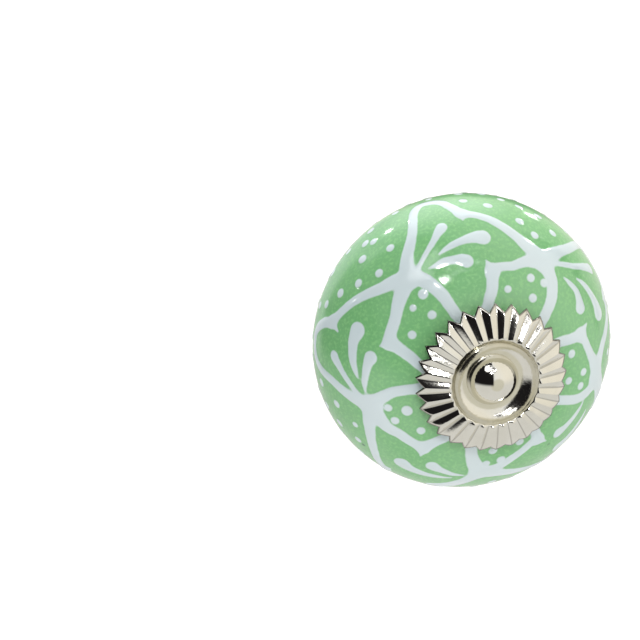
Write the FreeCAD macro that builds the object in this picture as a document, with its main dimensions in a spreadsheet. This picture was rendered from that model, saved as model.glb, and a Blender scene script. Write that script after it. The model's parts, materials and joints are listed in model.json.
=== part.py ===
import FreeCAD, Part
import math
import os

import Sketcher

# Cabinet knob: a glazed pottery body, clamped by one long bolt between a pleated rosette at its
# front and a hollow cup at its back. Millimetres and degrees. The knob faces -Y, its bolt runs
# along +Y, and the origin is the centre of the cup's rim, where the knob meets the door.
# Every piece is drawn on its own Z axis, front up, and its Placement lays that axis along -Y.

# Driving sizes
SIZES = {
    # Pottery body, from its widest section
    "equator_radius": 20.0,
    "front_height": 14.2,
    "front_land": 4.0,
    "back_height": 12.0,
    "back_land": 6.6,
    "body_bore": 2.7,
    # Rosette: one sheet, pressed into a dish with a pleated skirt round it
    "sheet": 0.35,
    "rosette_bore": 1.9,
    "seat_radius": 3.35,
    "crest_radius": 5.6,
    "crest_rise": 1.85,
    "tip_radius": 9.75,
    "skirt_drop": 1.6,
    "pleat_depth": 0.55,
    "notch_depth": 0.88,
    # Bolt: domed head on a thin collar, plain shank, threaded end
    "shank_radius": 1.77,
    "thread_radius": 2.0,
    "free_thread": 25.0,
    "thread_chamfer": 0.5,
    "collar_radius": 3.25,
    "collar_depth": 0.35,
    "dome_radius": 2.75,
    "dome_height": 2.5,
    # Cup between the body and the door
    "cup_height": 7.0,
    "cup_wall": 0.6,
    "cup_neck": 6.2,
    "neck_round": 0.5,
    "cup_rim": 7.6,
    "cup_foot": 1.2,
    "cup_hole": 1.9,
    # Washer and nut inside the cup
    "washer_radius": 4.5,
    "washer_depth": 0.8,
    "washer_hole": 1.9,
    "nut_flats": 7.0,
    "nut_depth": 3.2,
    "nut_chamfer": 0.35,
}

# Driving counts, angles and ratios
SHAPES = {
    "pleats": 29,
    "rosette_turn": -3.88,
    # How much flatter each crown is than the one arc from its land to the widest section
    "front_flatness": 1.542,
    "back_flatness": 1.28,
}

# Sizes worked out from them, in the sheet's own formulas
WORKED_OUT = {
    # Body: a crown arc, centred on the axis, runs from each land and joins a shoulder arc that
    # is centred on the widest section, so that the two arcs are tangent
    "front_arc_level": "(front_height ^ 2 + front_land ^ 2 - equator_radius ^ 2) / (2 * front_height)",
    "front_crown": "front_flatness * sqrt(equator_radius ^ 2 + front_arc_level ^ 2)",
    "front_level": "front_height - sqrt(front_crown ^ 2 - front_land ^ 2)",
    "front_shoulder":
        "(front_crown ^ 2 - equator_radius ^ 2 - front_level ^ 2) / (2 * (front_crown - equator_radius))",
    "front_centre": "equator_radius - front_shoulder",
    "front_ratio": "front_crown / (front_crown - front_shoulder)",
    "front_join": "front_ratio * front_centre",
    "front_join_level": "front_level * (1 - front_ratio)",
    "back_arc_level": "(back_height ^ 2 + back_land ^ 2 - equator_radius ^ 2) / (2 * back_height)",
    "back_crown": "back_flatness * sqrt(equator_radius ^ 2 + back_arc_level ^ 2)",
    "back_level": "sqrt(back_crown ^ 2 - back_land ^ 2) - back_height",
    "back_shoulder":
        "(back_crown ^ 2 - equator_radius ^ 2 - back_level ^ 2) / (2 * (back_crown - equator_radius))",
    "back_centre": "equator_radius - back_shoulder",
    "back_ratio": "back_crown / (back_crown - back_shoulder)",
    "back_join": "back_ratio * back_centre",
    "back_join_level": "back_level * (1 - back_ratio)",
    "back_face": "-back_height",
    # Pleats: ridges and valleys all run from one point on the axis, so each facet is flat
    "crest_top": "sheet + crest_rise",
    "ridge_slope": "skirt_drop / (tip_radius - crest_radius)",
    "valley_slope": "ridge_slope + pleat_depth / tip_radius",
    "pleat_apex": "crest_top + ridge_slope * crest_radius",
    "half_pitch": "180deg / pleats",
    "pleat_tilt": "pleat_depth / (tip_radius * tan(half_pitch))",
    "sheet_drop": "sheet * sqrt(1 + valley_slope ^ 2 + pleat_tilt ^ 2)",
    # Skirt before its pleats are cut: a thick cone with some spare above and below
    "spare": "sheet / 2",
    "skirt_inner": "crest_radius - 1.5 * sheet",
    "skirt_inner_top": "pleat_apex - ridge_slope * skirt_inner + spare",
    "skirt_inner_under": "pleat_apex - valley_slope * skirt_inner - sheet_drop - spare",
    "skirt_tip_top": "pleat_apex - ridge_slope * tip_radius + spare",
    "skirt_tip_under": "pleat_apex - valley_slope * tip_radius - sheet_drop - spare",
    # Dish: an arc that leaves the seat level, passes the crest and ends a little above it
    "dish_width": "crest_radius - seat_radius",
    "dish_radius": "(dish_width ^ 2 + crest_rise ^ 2) / (2 * crest_rise)",
    "dish_centre": "sheet + dish_radius",
    "dish_rise": "crest_rise + spare",
    "dish_top": "sheet + dish_rise",
    "dish_run": "sqrt(dish_radius ^ 2 - (dish_radius - dish_rise) ^ 2)",
    "dish_reach": "seat_radius + dish_run",
    "dish_back": "dish_radius + sheet",
    "dish_back_reach": "seat_radius + dish_run * dish_back / dish_radius",
    "dish_back_top": "dish_centre - (dish_radius - dish_rise) * dish_back / dish_radius",
    "bowl_top": "skirt_inner_top + sheet",
    # Wedges that cut the pleats, each wider than a pleat: a near and a far section, in planes
    # across the wedge
    "wedge_spread": "2.2",
    "near_cut": "seat_radius",
    "far_cut": "tip_radius + 2 * sheet",
    "upper_steep": "wedge_spread * (valley_slope - ridge_slope / cos(half_pitch))",
    "under_steep": "wedge_spread * (valley_slope / cos(half_pitch) - ridge_slope)",
    "near_half": "wedge_spread * near_cut * tan(half_pitch)",
    "near_half_back": "-near_half",
    "near_upper": "pleat_apex - valley_slope * near_cut",
    "near_upper_wing": "near_upper + upper_steep * near_cut",
    "near_under": "pleat_apex - ridge_slope * near_cut - sheet_drop",
    "near_under_wing": "near_under - under_steep * near_cut",
    "far_half": "wedge_spread * far_cut * tan(half_pitch)",
    "far_half_back": "-far_half",
    "far_upper": "pleat_apex - valley_slope * far_cut",
    "far_upper_wing": "far_upper + upper_steep * far_cut",
    "far_under": "pleat_apex - ridge_slope * far_cut - sheet_drop",
    "far_under_wing": "far_under - under_steep * far_cut",
    # Notch between two teeth, on a ridge: each tooth is the end of a valley
    "notch_radius": "tip_radius - notch_depth",
    "notch_far": "notch_radius + wedge_spread * (tip_radius * cos(half_pitch) - notch_radius)",
    "notch_half": "wedge_spread * tip_radius * sin(half_pitch)",
    "notch_half_back": "-notch_half",
    # Bolt, from the underside of its collar
    "grip": "sheet + front_height + back_height + cup_wall + washer_depth + nut_depth",
    "thread_top": "-grip",
    "bolt_end": "-(sheet + front_height + back_height + cup_height + free_thread)",
    "chamfer_top": "bolt_end + thread_chamfer",
    "chamfer_radius": "thread_radius - thread_chamfer",
    "dome_top": "collar_depth + dome_height",
    "dome_ball": "(dome_radius ^ 2 + dome_height ^ 2) / (2 * dome_height)",
    "dome_centre": "dome_top - dome_ball",
    # Cup: the wall flares from its neck to its foot
    "neck_flat": "cup_neck - neck_round",
    "flare_top": "cup_height - neck_round",
    "flare_width": "cup_rim - cup_neck",
    "flare_depth": "flare_top - cup_foot",
    "flare_radius": "(flare_width ^ 2 + flare_depth ^ 2) / (2 * flare_width)",
    "flare_centre": "cup_neck + flare_radius",
    "flare_inner": "flare_radius + cup_wall",
    "cup_ceiling": "cup_height - cup_wall",
    "ceiling_radius": "flare_centre - sqrt(flare_inner ^ 2 - (flare_top - cup_ceiling) ^ 2)",
    "foot_inner": "flare_centre - sqrt(flare_inner ^ 2 - flare_depth ^ 2)",
    # Nut: turned blank, then flats
    "nut_corner": "nut_flats / (2 * cos(30deg))",
    "nut_face": "nut_corner - nut_chamfer / tan(30deg)",
    "nut_upper": "nut_depth - nut_chamfer",
    "flat_place": "nut_flats / 2",
    "flat_far": "nut_flats",
    "flat_half": "nut_flats",
    "flat_half_back": "-nut_flats",
    # Where each piece's own zero plane lies along Y
    "equator_y": "-(cup_height + back_height)",
    "rosette_y": "equator_y - front_height",
    "bolt_y": "rosette_y - sheet",
    "washer_y": "-(cup_ceiling - washer_depth)",
    "nut_y": "washer_y + nut_depth",
}

ZERO = None

doc = FreeCAD.newDocument("cabinet_knob")
sheet = doc.addObject("Spreadsheet::Sheet", "Sizes")


def fill_sheet():
    """One row per size: its name, its number or formula, and the name again as alias."""
    formulas = {name: "=" + text for name, text in WORKED_OUT.items()}
    for row, (name, value) in enumerate({**SIZES, **SHAPES, **formulas}.items(), start=1):
        sheet.set(f"A{row}", name)
        sheet.set(f"B{row}", str(value))
        sheet.setAlias(f"B{row}", name)
    doc.recompute()


def size(name):
    """Number that the sheet holds under a name; ZERO stands for the axis or the zero plane."""
    if name is ZERO:
        return 0.0
    value = sheet.get(name)
    return getattr(value, "Value", value)


def spot(place):
    return FreeCAD.Vector(size(place[0]), size(place[1]), 0)


def new_body(label, seat):
    """Body whose own Z axis lies along -Y, with its zero plane at the named place along Y."""
    body = doc.addObject("PartDesign::Body", label)
    body.Label = label
    body.Placement = FreeCAD.Placement(FreeCAD.Vector(), FreeCAD.Rotation(0, 0, 90))
    if seat is not ZERO:
        body.setExpression(".Placement.Base.y", "Sizes." + seat)
    return body


def new_sketch(body, role, name):
    """Empty sketch on one of the body's own origin planes."""
    plane = next(item for item in body.Origin.OriginFeatures if item.Role == role)
    sketch = body.newObject("Sketcher::SketchObject", name)
    sketch.AttachmentSupport = [(plane, "")]
    sketch.MapMode = "FlatFace"
    return sketch


def bind(sketch, kind, elements, alias):
    """Constraint whose value is the named size."""
    number = sketch.addConstraint(Sketcher.Constraint(kind, *elements, size(alias)))
    sketch.setExpression(f"Constraints[{number}]", "Sizes." + alias)


def pin(sketch, curve, point, place):
    """Hold one point of a curve at a named place."""
    for kind, alias in zip(("DistanceX", "DistanceY"), place):
        if alias is ZERO:
            axis = -2 if kind == "DistanceX" else -1
            sketch.addConstraint(Sketcher.Constraint("PointOnObject", curve, point, axis))
        else:
            bind(sketch, kind, (-1, 1, curve, point), alias)


def arc_between(start, end, centre):
    """Shorter arc round a centre, and which of its two points is its start and its end."""
    near = start - centre
    far = end - centre
    first = math.atan2(near.y, near.x)
    last = math.atan2(far.y, far.x)
    circle = Part.Circle(centre, FreeCAD.Vector(0, 0, 1), near.Length)
    if (last - first) % math.tau < math.pi:
        return Part.ArcOfCircle(circle, first, last), 1, 2
    return Part.ArcOfCircle(circle, last, first), 2, 1


def outline(sketch, corners, bends=()):
    """Closed outline through named corners. A bend is the corner that an arc starts from, the
    arc's centre and its radius; the other sides are straight."""
    bends = dict((corner, (centre, radius)) for corner, centre, radius in bends)
    sides = []
    for number, start in enumerate(corners):
        end = corners[(number + 1) % len(corners)]
        if start in bends:
            curve, first, last = arc_between(spot(start), spot(end), spot(bends[start][0]))
        else:
            curve, first, last = Part.LineSegment(spot(start), spot(end)), 1, 2
        side = sketch.addGeometry(curve)
        sides.append((side, first, last))
        if start in bends:
            bind(sketch, "Radius", (side,), bends[start][1])
    for number, (side, first, last) in enumerate(sides):
        following, its_first, _ = sides[(number + 1) % len(sides)]
        sketch.addConstraint(Sketcher.Constraint("Coincident", side, last, following, its_first))
        pin(sketch, side, first, corners[number])


def turn(body, name, corners, bends=(), kind="PartDesign::Revolution"):
    """Turned piece, or with kind Groove a turned cut, from an outline beside the body's axis."""
    sketch = new_sketch(body, "XZ_Plane", name + "Outline")
    outline(sketch, corners, bends)
    feature = body.newObject(kind, name)
    feature.Profile = sketch
    feature.ReferenceAxis = (sketch, ["V_Axis"])
    feature.Angle = 360
    body.Tip = feature
    return feature


def repeat(body, name, feature, count):
    """Copies of a cut, evenly spaced round the body's axis."""
    pattern = body.newObject("PartDesign::PolarPattern", name)
    pattern.Originals = [feature]
    pattern.Axis = (next(item for item in body.Origin.OriginFeatures if item.Role == "Z_Axis"), [""])
    pattern.Angle = 360
    if isinstance(count, str):
        pattern.setExpression("Occurrences", "Sizes." + count)
    else:
        pattern.Occurrences = count
    body.Tip = pattern
    return pattern


def cut_flat(body, name, corners):
    """Straight cut through the whole piece, square to its axis plane, from a flat outline."""
    sketch = new_sketch(body, "XY_Plane", name + "Outline")
    outline(sketch, corners)
    pocket = body.newObject("PartDesign::Pocket", name)
    pocket.Profile = sketch
    pocket.Type = "ThroughAll"
    pocket.Midplane = True
    body.Tip = pocket
    return pocket


def cut_wedge(body, name, level, turned):
    """Wedge-shaped cut between a near and a far triangle that stand across a radius of the
    piece. turned is the name of the angle between that radius and the X axis, or ZERO."""
    triangles = []
    for end in ("near", "far"):
        sketch = new_sketch(body, "YZ_Plane", name + end.capitalize())
        sketch.AttachmentOffset = FreeCAD.Placement(
            FreeCAD.Vector(), FreeCAD.Rotation(FreeCAD.Vector(0, 1, 0), 1)
        )
        angle = "0deg" if turned is ZERO else "Sizes." + turned
        sketch.setExpression(".AttachmentOffset.Base.x", f"Sizes.{end}_cut * sin({angle})")
        sketch.setExpression(".AttachmentOffset.Base.z", f"Sizes.{end}_cut * cos({angle})")
        sketch.setExpression(".AttachmentOffset.Rotation.Angle", angle)
        wing = f"{end}_{level}_wing"
        outline(sketch, [(ZERO, f"{end}_{level}"), (f"{end}_half", wing), (f"{end}_half_back", wing)])
        triangles.append(sketch)
    doc.recompute()
    loft = body.newObject("PartDesign::SubtractiveLoft", name)
    loft.Profile = triangles[0]
    loft.Sections = triangles[1:]
    loft.Ruled = True
    body.Tip = loft
    return loft


def make_ceramic_body():
    body = new_body("ceramic_body", "equator_y")
    turn(
        body,
        "GlazedForm",
        [
            ("body_bore", "back_face"),
            ("back_land", "back_face"),
            ("back_join", "back_join_level"),
            ("equator_radius", ZERO),
            ("front_join", "front_join_level"),
            ("front_land", "front_height"),
            ("body_bore", "front_height"),
        ],
        [
            (("back_land", "back_face"), (ZERO, "back_level"), "back_crown"),
            (("back_join", "back_join_level"), ("back_centre", ZERO), "back_shoulder"),
            (("equator_radius", ZERO), ("front_centre", ZERO), "front_shoulder"),
            (("front_join", "front_join_level"), (ZERO, "front_level"), "front_crown"),
        ],
    )
    return body


def make_front_rosette():
    body = new_body("front_rosette", "rosette_y")
    body.setExpression(".Placement.Rotation.Pitch", "-1deg * Sizes.rosette_turn")
    turn(
        body,
        "SkirtBlank",
        [
            ("skirt_inner", "skirt_inner_under"),
            ("tip_radius", "skirt_tip_under"),
            ("tip_radius", "skirt_tip_top"),
            ("skirt_inner", "skirt_inner_top"),
        ],
    )
    repeat(body, "RidgeHollows", cut_wedge(body, "RidgeHollow", "under", ZERO), "pleats")
    turn(
        body,
        "DishWall",
        [
            ("rosette_bore", ZERO),
            ("seat_radius", ZERO),
            ("dish_back_reach", "dish_back_top"),
            ("dish_reach", "dish_top"),
            ("seat_radius", "sheet"),
            ("rosette_bore", "sheet"),
        ],
        [
            (("seat_radius", ZERO), ("seat_radius", "dish_centre"), "dish_back"),
            (("dish_reach", "dish_top"), ("seat_radius", "dish_centre"), "dish_radius"),
        ],
    )
    repeat(body, "ValleyCuts", cut_wedge(body, "ValleyCut", "upper", "half_pitch"), "pleats")
    turn(
        body,
        "Bowl",
        [
            (ZERO, "sheet"),
            ("seat_radius", "sheet"),
            ("dish_reach", "dish_top"),
            ("dish_reach", "bowl_top"),
            (ZERO, "bowl_top"),
        ],
        [(("seat_radius", "sheet"), ("seat_radius", "dish_centre"), "dish_radius")],
        kind="PartDesign::Groove",
    )
    notch = [("notch_radius", ZERO), ("notch_far", "notch_half"), ("notch_far", "notch_half_back")]
    repeat(body, "Teeth", cut_flat(body, "ToothNotch", notch), "pleats")
    return body


def make_knob_bolt():
    body = new_body("knob_bolt", "bolt_y")
    turn(
        body,
        "TurnedBolt",
        [
            (ZERO, "bolt_end"),
            ("chamfer_radius", "bolt_end"),
            ("thread_radius", "chamfer_top"),
            ("thread_radius", "thread_top"),
            ("shank_radius", "thread_top"),
            ("shank_radius", ZERO),
            ("collar_radius", ZERO),
            ("collar_radius", "collar_depth"),
            ("dome_radius", "collar_depth"),
            (ZERO, "dome_top"),
        ],
        [(("dome_radius", "collar_depth"), (ZERO, "dome_centre"), "dome_ball")],
    )
    return body


def make_rear_ferrule():
    body = new_body("rear_ferrule", ZERO)
    turn(
        body,
        "SpunCup",
        [
            ("cup_hole", "cup_ceiling"),
            ("ceiling_radius", "cup_ceiling"),
            ("foot_inner", "cup_foot"),
            ("foot_inner", ZERO),
            ("cup_rim", ZERO),
            ("cup_rim", "cup_foot"),
            ("cup_neck", "flare_top"),
            ("neck_flat", "cup_height"),
            ("cup_hole", "cup_height"),
        ],
        [
            (("ceiling_radius", "cup_ceiling"), ("flare_centre", "flare_top"), "flare_inner"),
            (("cup_rim", "cup_foot"), ("flare_centre", "flare_top"), "flare_radius"),
            (("cup_neck", "flare_top"), ("neck_flat", "flare_top"), "neck_round"),
        ],
    )
    return body


def make_cup_washer():
    body = new_body("cup_washer", "washer_y")
    turn(
        body,
        "WasherRing",
        [
            ("washer_hole", ZERO),
            ("washer_radius", ZERO),
            ("washer_radius", "washer_depth"),
            ("washer_hole", "washer_depth"),
        ],
    )
    return body


def make_cup_nut():
    body = new_body("cup_nut", "nut_y")
    turn(
        body,
        "NutBlank",
        [
            ("shank_radius", ZERO),
            ("nut_face", ZERO),
            ("nut_corner", "nut_chamfer"),
            ("nut_corner", "nut_upper"),
            ("nut_face", "nut_depth"),
            ("shank_radius", "nut_depth"),
        ],
    )
    flat = [
        ("flat_place", "flat_half_back"),
        ("flat_far", "flat_half_back"),
        ("flat_far", "flat_half"),
        ("flat_place", "flat_half"),
    ]
    repeat(body, "HexFlats", cut_flat(body, "HexFlat", flat), 6)
    return body


def export(pieces):
    """One STEP file for each piece, once every feature and every piece is sound."""
    for item in doc.Objects:
        if "Invalid" in item.State or "Error" in item.State:
            raise RuntimeError(f"{item.Label} failed: {item.State}")
    for piece in pieces:
        if piece.Shape.isNull() or not piece.Shape.isValid():
            raise RuntimeError(f"{piece.Label} has no sound shape")
        print(piece.Label, len(piece.Shape.Solids), "solid", round(piece.Shape.Volume, 3), "mm3")
    os.makedirs("parts", exist_ok=True)
    for piece in pieces:
        piece.Shape.exportStep(f"parts/{piece.Label}.step")


fill_sheet()
pieces = [
    make_ceramic_body(),
    make_front_rosette(),
    make_knob_bolt(),
    make_rear_ferrule(),
    make_cup_washer(),
    make_cup_nut(),
]
doc.recompute()
export(pieces)
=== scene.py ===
import json
import math

import bpy
import numpy as np
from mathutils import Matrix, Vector

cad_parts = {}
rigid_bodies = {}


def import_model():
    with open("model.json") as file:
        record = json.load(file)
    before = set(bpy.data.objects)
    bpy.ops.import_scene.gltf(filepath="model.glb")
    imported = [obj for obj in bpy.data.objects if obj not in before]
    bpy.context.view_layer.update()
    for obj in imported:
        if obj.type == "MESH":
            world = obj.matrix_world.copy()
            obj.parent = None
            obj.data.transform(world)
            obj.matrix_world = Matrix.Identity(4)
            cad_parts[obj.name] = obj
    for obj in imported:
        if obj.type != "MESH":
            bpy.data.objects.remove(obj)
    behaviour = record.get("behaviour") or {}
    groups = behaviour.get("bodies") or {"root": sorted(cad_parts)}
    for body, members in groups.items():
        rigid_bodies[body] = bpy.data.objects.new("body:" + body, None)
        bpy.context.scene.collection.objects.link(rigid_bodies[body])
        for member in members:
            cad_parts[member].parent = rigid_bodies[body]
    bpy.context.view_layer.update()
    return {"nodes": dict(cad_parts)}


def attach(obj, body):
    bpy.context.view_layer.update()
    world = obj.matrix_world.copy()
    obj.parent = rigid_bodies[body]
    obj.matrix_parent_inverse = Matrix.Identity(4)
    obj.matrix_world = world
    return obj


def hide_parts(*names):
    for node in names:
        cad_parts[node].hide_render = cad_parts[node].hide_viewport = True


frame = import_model()
scene = bpy.context.scene
MM = 0.001
print("nodes:", sorted(frame["nodes"]))

# %% [markdown]
# ## Node trees from short expressions
#
# `Link` is one output socket. Arithmetic on it adds Math nodes to its tree. `Tree.node` adds
# any other node: its settings first, then its values and links.
# %%


class Link:
    """Output socket of a node, with arithmetic that adds Math nodes."""

    def __init__(self, tree, socket):
        self.tree = tree
        self.socket = socket

    def maths(self, operation, *others):
        values = dict(enumerate((self, *others)))
        return self.tree.node("ShaderNodeMath", {"operation": operation}, values)[0]

    def __add__(self, other):
        return self.maths("ADD", other)

    def __sub__(self, other):
        return self.maths("SUBTRACT", other)

    def __mul__(self, other):
        return self.maths("MULTIPLY", other)

    def __truediv__(self, other):
        return self.maths("DIVIDE", other)

    def __rsub__(self, other):
        return self * -1.0 + other

    __radd__ = __add__
    __rmul__ = __mul__

    def step(self, low, high):
        """Smooth step from 0 at low to 1 at high."""
        settings = {"interpolation_type": "SMOOTHSTEP"}
        values = {"Value": self, "From Min": low, "From Max": high}
        return self.tree.node("ShaderNodeMapRange", settings, values)["Result"]


class Outputs:
    """Output sockets of one node, by name or number."""

    def __init__(self, tree, node):
        self.tree = tree
        self.node = node

    def __getitem__(self, key):
        return Link(self.tree, self.node.outputs[key])


class Tree:
    """Shader or geometry tree that is written node by node."""

    def __init__(self, tree):
        self.tree = tree

    def node(self, kind, settings=None, values=None):
        made = self.tree.nodes.new(kind)
        for name, value in (settings or {}).items():
            if name == "stops":
                ramp = made.color_ramp.elements
                while len(ramp) < len(value):
                    ramp.new(0.5)
                for stop, (place, colour) in zip(ramp, value):
                    stop.position = place
                    stop.color = (*colour, 1.0)
            else:
                setattr(made, name, value)
        for name, value in (values or {}).items():
            socket = made.inputs[name]
            if isinstance(value, Link):
                self.tree.links.new(value.socket, socket)
            else:
                socket.default_value = value
        return Outputs(self, made)

    def blend(self, factor, first, second):
        """Colour that goes from first to second as the factor goes from 0 to 1."""
        first, second = (c if isinstance(c, Link) else (*c, 1.0) for c in (first, second))
        settings = {"data_type": "RGBA"}
        return self.node("ShaderNodeMix", settings, {0: factor, 6: first, 7: second})[2]

    def parts(self, vector):
        return [self.node("ShaderNodeSeparateXYZ", {}, {0: vector})[n] for n in range(3)]

    def noise(self, vector, scale, detail=2.0):
        values = {"Vector": vector, "Scale": scale, "Detail": detail}
        return self.node("ShaderNodeTexNoise", {}, values)[0]


print("trees are built from", Link.__name__, "and", Tree.__name__)

# %% [markdown]
# ## Outlines
#
# Every turned piece starts from an outline beside the axis, in millimetres: the radius, and
# the place along Y. An outline is a chain of straight runs and arcs, cut into short steps.
# %%


TINY = 1e-9


def run(start, end, count=1):
    """Points on a straight run, without its last one."""
    along = np.linspace(0, 1, count, endpoint=False)[:, None]
    return np.array(start) + along * (np.array(end) - np.array(start))


def bend(centre, radius, first, last, count):
    """Points on an arc between two angles in degrees, without the last one."""
    angle = np.radians(np.linspace(first, last, count, endpoint=False))
    return np.array(centre) + radius * np.stack([np.cos(angle), np.sin(angle)], axis=1)


def rounded(corners, radii, count=4):
    """Chain of straight runs whose corners are rounded. A radius of 0 keeps a corner sharp."""
    corners = [np.array(corner, float) for corner in corners]
    points = []
    for number, (corner, radius) in enumerate(zip(corners, radii)):
        if not radius:
            points.append(corner)
            continue
        back = corners[number - 1] - corner
        ahead = corners[(number + 1) % len(corners)] - corner
        back /= np.linalg.norm(back)
        ahead /= np.linalg.norm(ahead)
        half = math.acos(np.clip(back @ ahead, -1, 1)) / 2
        reach = radius / math.tan(half)
        middle = (back + ahead) / np.linalg.norm(back + ahead)
        centre = corner + middle * radius / math.sin(half)
        start, end = corner + back * reach - centre, corner + ahead * reach - centre
        for part in np.linspace(0, 1, count + 1):
            turn = math.pi - 2 * half
            spoke = start * math.sin((1 - part) * turn + TINY) + end * math.sin(part * turn + TINY)
            points.append(centre + spoke / np.linalg.norm(spoke) * radius)
    return np.array(points)


print("a quarter circle in 4 steps:", bend((0, 0), 1, 0, 90, 4).round(2).tolist())

# %% [markdown]
# ## Turning
#
# One node group turns an outline round the Y axis. An outline that runs from the back to the
# front along the outer surface gives outward normals.
# %%


def new_group(name, sockets):
    """Empty geometry group with the named inputs, its tree and the Link of each input."""
    group = bpy.data.node_groups.new(name, "GeometryNodeTree")
    group.interface.new_socket("Geometry", in_out="OUTPUT", socket_type="NodeSocketGeometry")
    group.interface.new_socket("Geometry", in_out="INPUT", socket_type="NodeSocketGeometry")
    for socket, kind in sockets.items():
        group.interface.new_socket(socket, in_out="INPUT", socket_type="NodeSocket" + kind)
    tree = Tree(group)
    return group, tree, tree.node("NodeGroupInput")


def turning_group():
    group, tree, given = new_group(
        "turned form", {"Outline": "Object", "Around": "Int", "Finish": "Material"}
    )
    outline = tree.node("GeometryNodeObjectInfo", {}, {"Object": given["Outline"]})["Geometry"]
    count = tree.node("GeometryNodeAttributeDomainSize", {}, {"Geometry": outline})["Point Count"]
    grid = tree.node(
        "GeometryNodeMeshGrid", {}, {"Vertices X": given["Around"] + 1, "Vertices Y": count}
    )["Mesh"]
    index = tree.node("GeometryNodeInputIndex")[0]
    turn = (index / count).maths("FLOOR") / given["Around"] * math.tau
    sampled = tree.node(
        "GeometryNodeSampleIndex",
        {"data_type": "FLOAT_VECTOR"},
        {
            "Geometry": outline,
            "Value": tree.node("GeometryNodeInputPosition")[0],
            "Index": index.maths("MODULO", count),
        },
    )[0]
    radius, along, _ = tree.parts(sampled)
    place = tree.node(
        "ShaderNodeCombineXYZ",
        {},
        {0: radius * turn.maths("COSINE"), 1: along, 2: radius * turn.maths("SINE")},
    )[0]
    moved = tree.node("GeometryNodeSetPosition", {}, {"Geometry": grid, "Position": place})[0]
    return finish_group(tree, group, moved, given["Finish"])


def finish_group(tree, group, geometry, material, welding=1e-7):
    """Weld, shade and give the material, then end the group."""
    welded = tree.node(
        "GeometryNodeMergeByDistance", {}, {"Geometry": geometry, "Distance": welding}
    )[0]
    smooth = tree.node("GeometryNodeSetShadeSmooth", {}, {"Geometry": welded})[0]
    made = tree.node("GeometryNodeSetMaterial", {}, {"Geometry": smooth, "Material": material})
    tree.node("NodeGroupOutput", {}, {"Geometry": made[0]})
    return group


def outline_object(points):
    """Loose points in metres that a group reads an outline from."""
    mesh = bpy.data.meshes.new("outline")
    mesh.from_pydata([(r * MM, y * MM, 0) for r, y in points], [], [])
    made = bpy.data.objects.new("outline", mesh)
    scene.collection.objects.link(made)
    return made


def grow(name, group, inputs):
    """Mesh object from a geometry group with its named inputs."""
    made = bpy.data.objects.new(name, bpy.data.meshes.new(name))
    scene.collection.objects.link(made)
    modifier = made.modifiers.new(group.name, "NODES")
    modifier.node_group = group
    for item in group.interface.items_tree:
        if item.in_out == "INPUT" and item.name in inputs:
            modifier[item.identifier] = inputs[item.name]
    view = bpy.context.evaluated_depsgraph_get()
    solid = bpy.data.meshes.new_from_object(made.evaluated_get(view), depsgraph=view)
    made.modifiers.clear()
    made.data = solid
    solid.name = name
    print(f"{name}: {len(solid.vertices)} points, {len(solid.polygons)} faces")
    return made


TURNED_FORM = turning_group()


def turned(name, points, around, material):
    """Turned piece from its outline in millimetres."""
    outline = outline_object(points)
    inputs = {"Outline": outline, "Around": around, "Finish": material}
    made = grow(name, TURNED_FORM, inputs)
    bpy.data.objects.remove(outline)
    return made


# %% [markdown]
# ## Glaze
#
# The glaze reads the drawn pattern from the point attribute `slip`: the distance in
# millimetres from the edge of the slip, negative inside it. Noise scales are repeats per metre.
# %%
GREEN = (0.235, 0.51, 0.245)
GREEN_DEEP = (0.185, 0.475, 0.195)
GREEN_PALE = (0.30, 0.63, 0.27)
SLIP = (0.625, 0.73, 0.765)
SLIP_PALE = (0.68, 0.77, 0.80)
PIT = (0.05, 0.14, 0.08)
EDGE_WOBBLE, EDGE_SOFTNESS = 0.2, 0.12
GLAZE_INDEX, GLAZE_ROUGHNESS, GLAZE_WAVES = 1.6, 0.08, 0.00003
CLOUDS, GRAINS, WOBBLES, SWELLS, RIPPLES, PITS = 90, 2600, 900, 160, 1400, 210.0


def new_material(name):
    material = bpy.data.materials.new(name)
    material.use_nodes = True
    material.node_tree.nodes.clear()
    tree = Tree(material.node_tree)
    return material, tree, tree.node("ShaderNodeTexCoord")["Object"]


def surface(tree, values):
    shader = tree.node("ShaderNodeBsdfPrincipled", {}, values)["BSDF"]
    tree.node("ShaderNodeOutputMaterial", {}, {"Surface": shader})


def bumped(tree, height, depth):
    """Normal of a surface whose height in 0 to 1 stands for the depth in metres."""
    return tree.node("ShaderNodeBump", {}, {"Strength": 1.0, "Distance": depth, "Height": height})[0]


def pits_in_glaze(tree, place):
    """1 in the few small dark pits that the firing left, 0 elsewhere."""
    cells = tree.node("ShaderNodeTexVoronoi", {}, {"Vector": place, "Scale": PITS, "Randomness": 1.0})
    chosen = tree.parts(cells["Color"])[0].step(0.9, 0.93)
    return cells["Distance"].step(0.075, 0.045) * chosen


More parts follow.
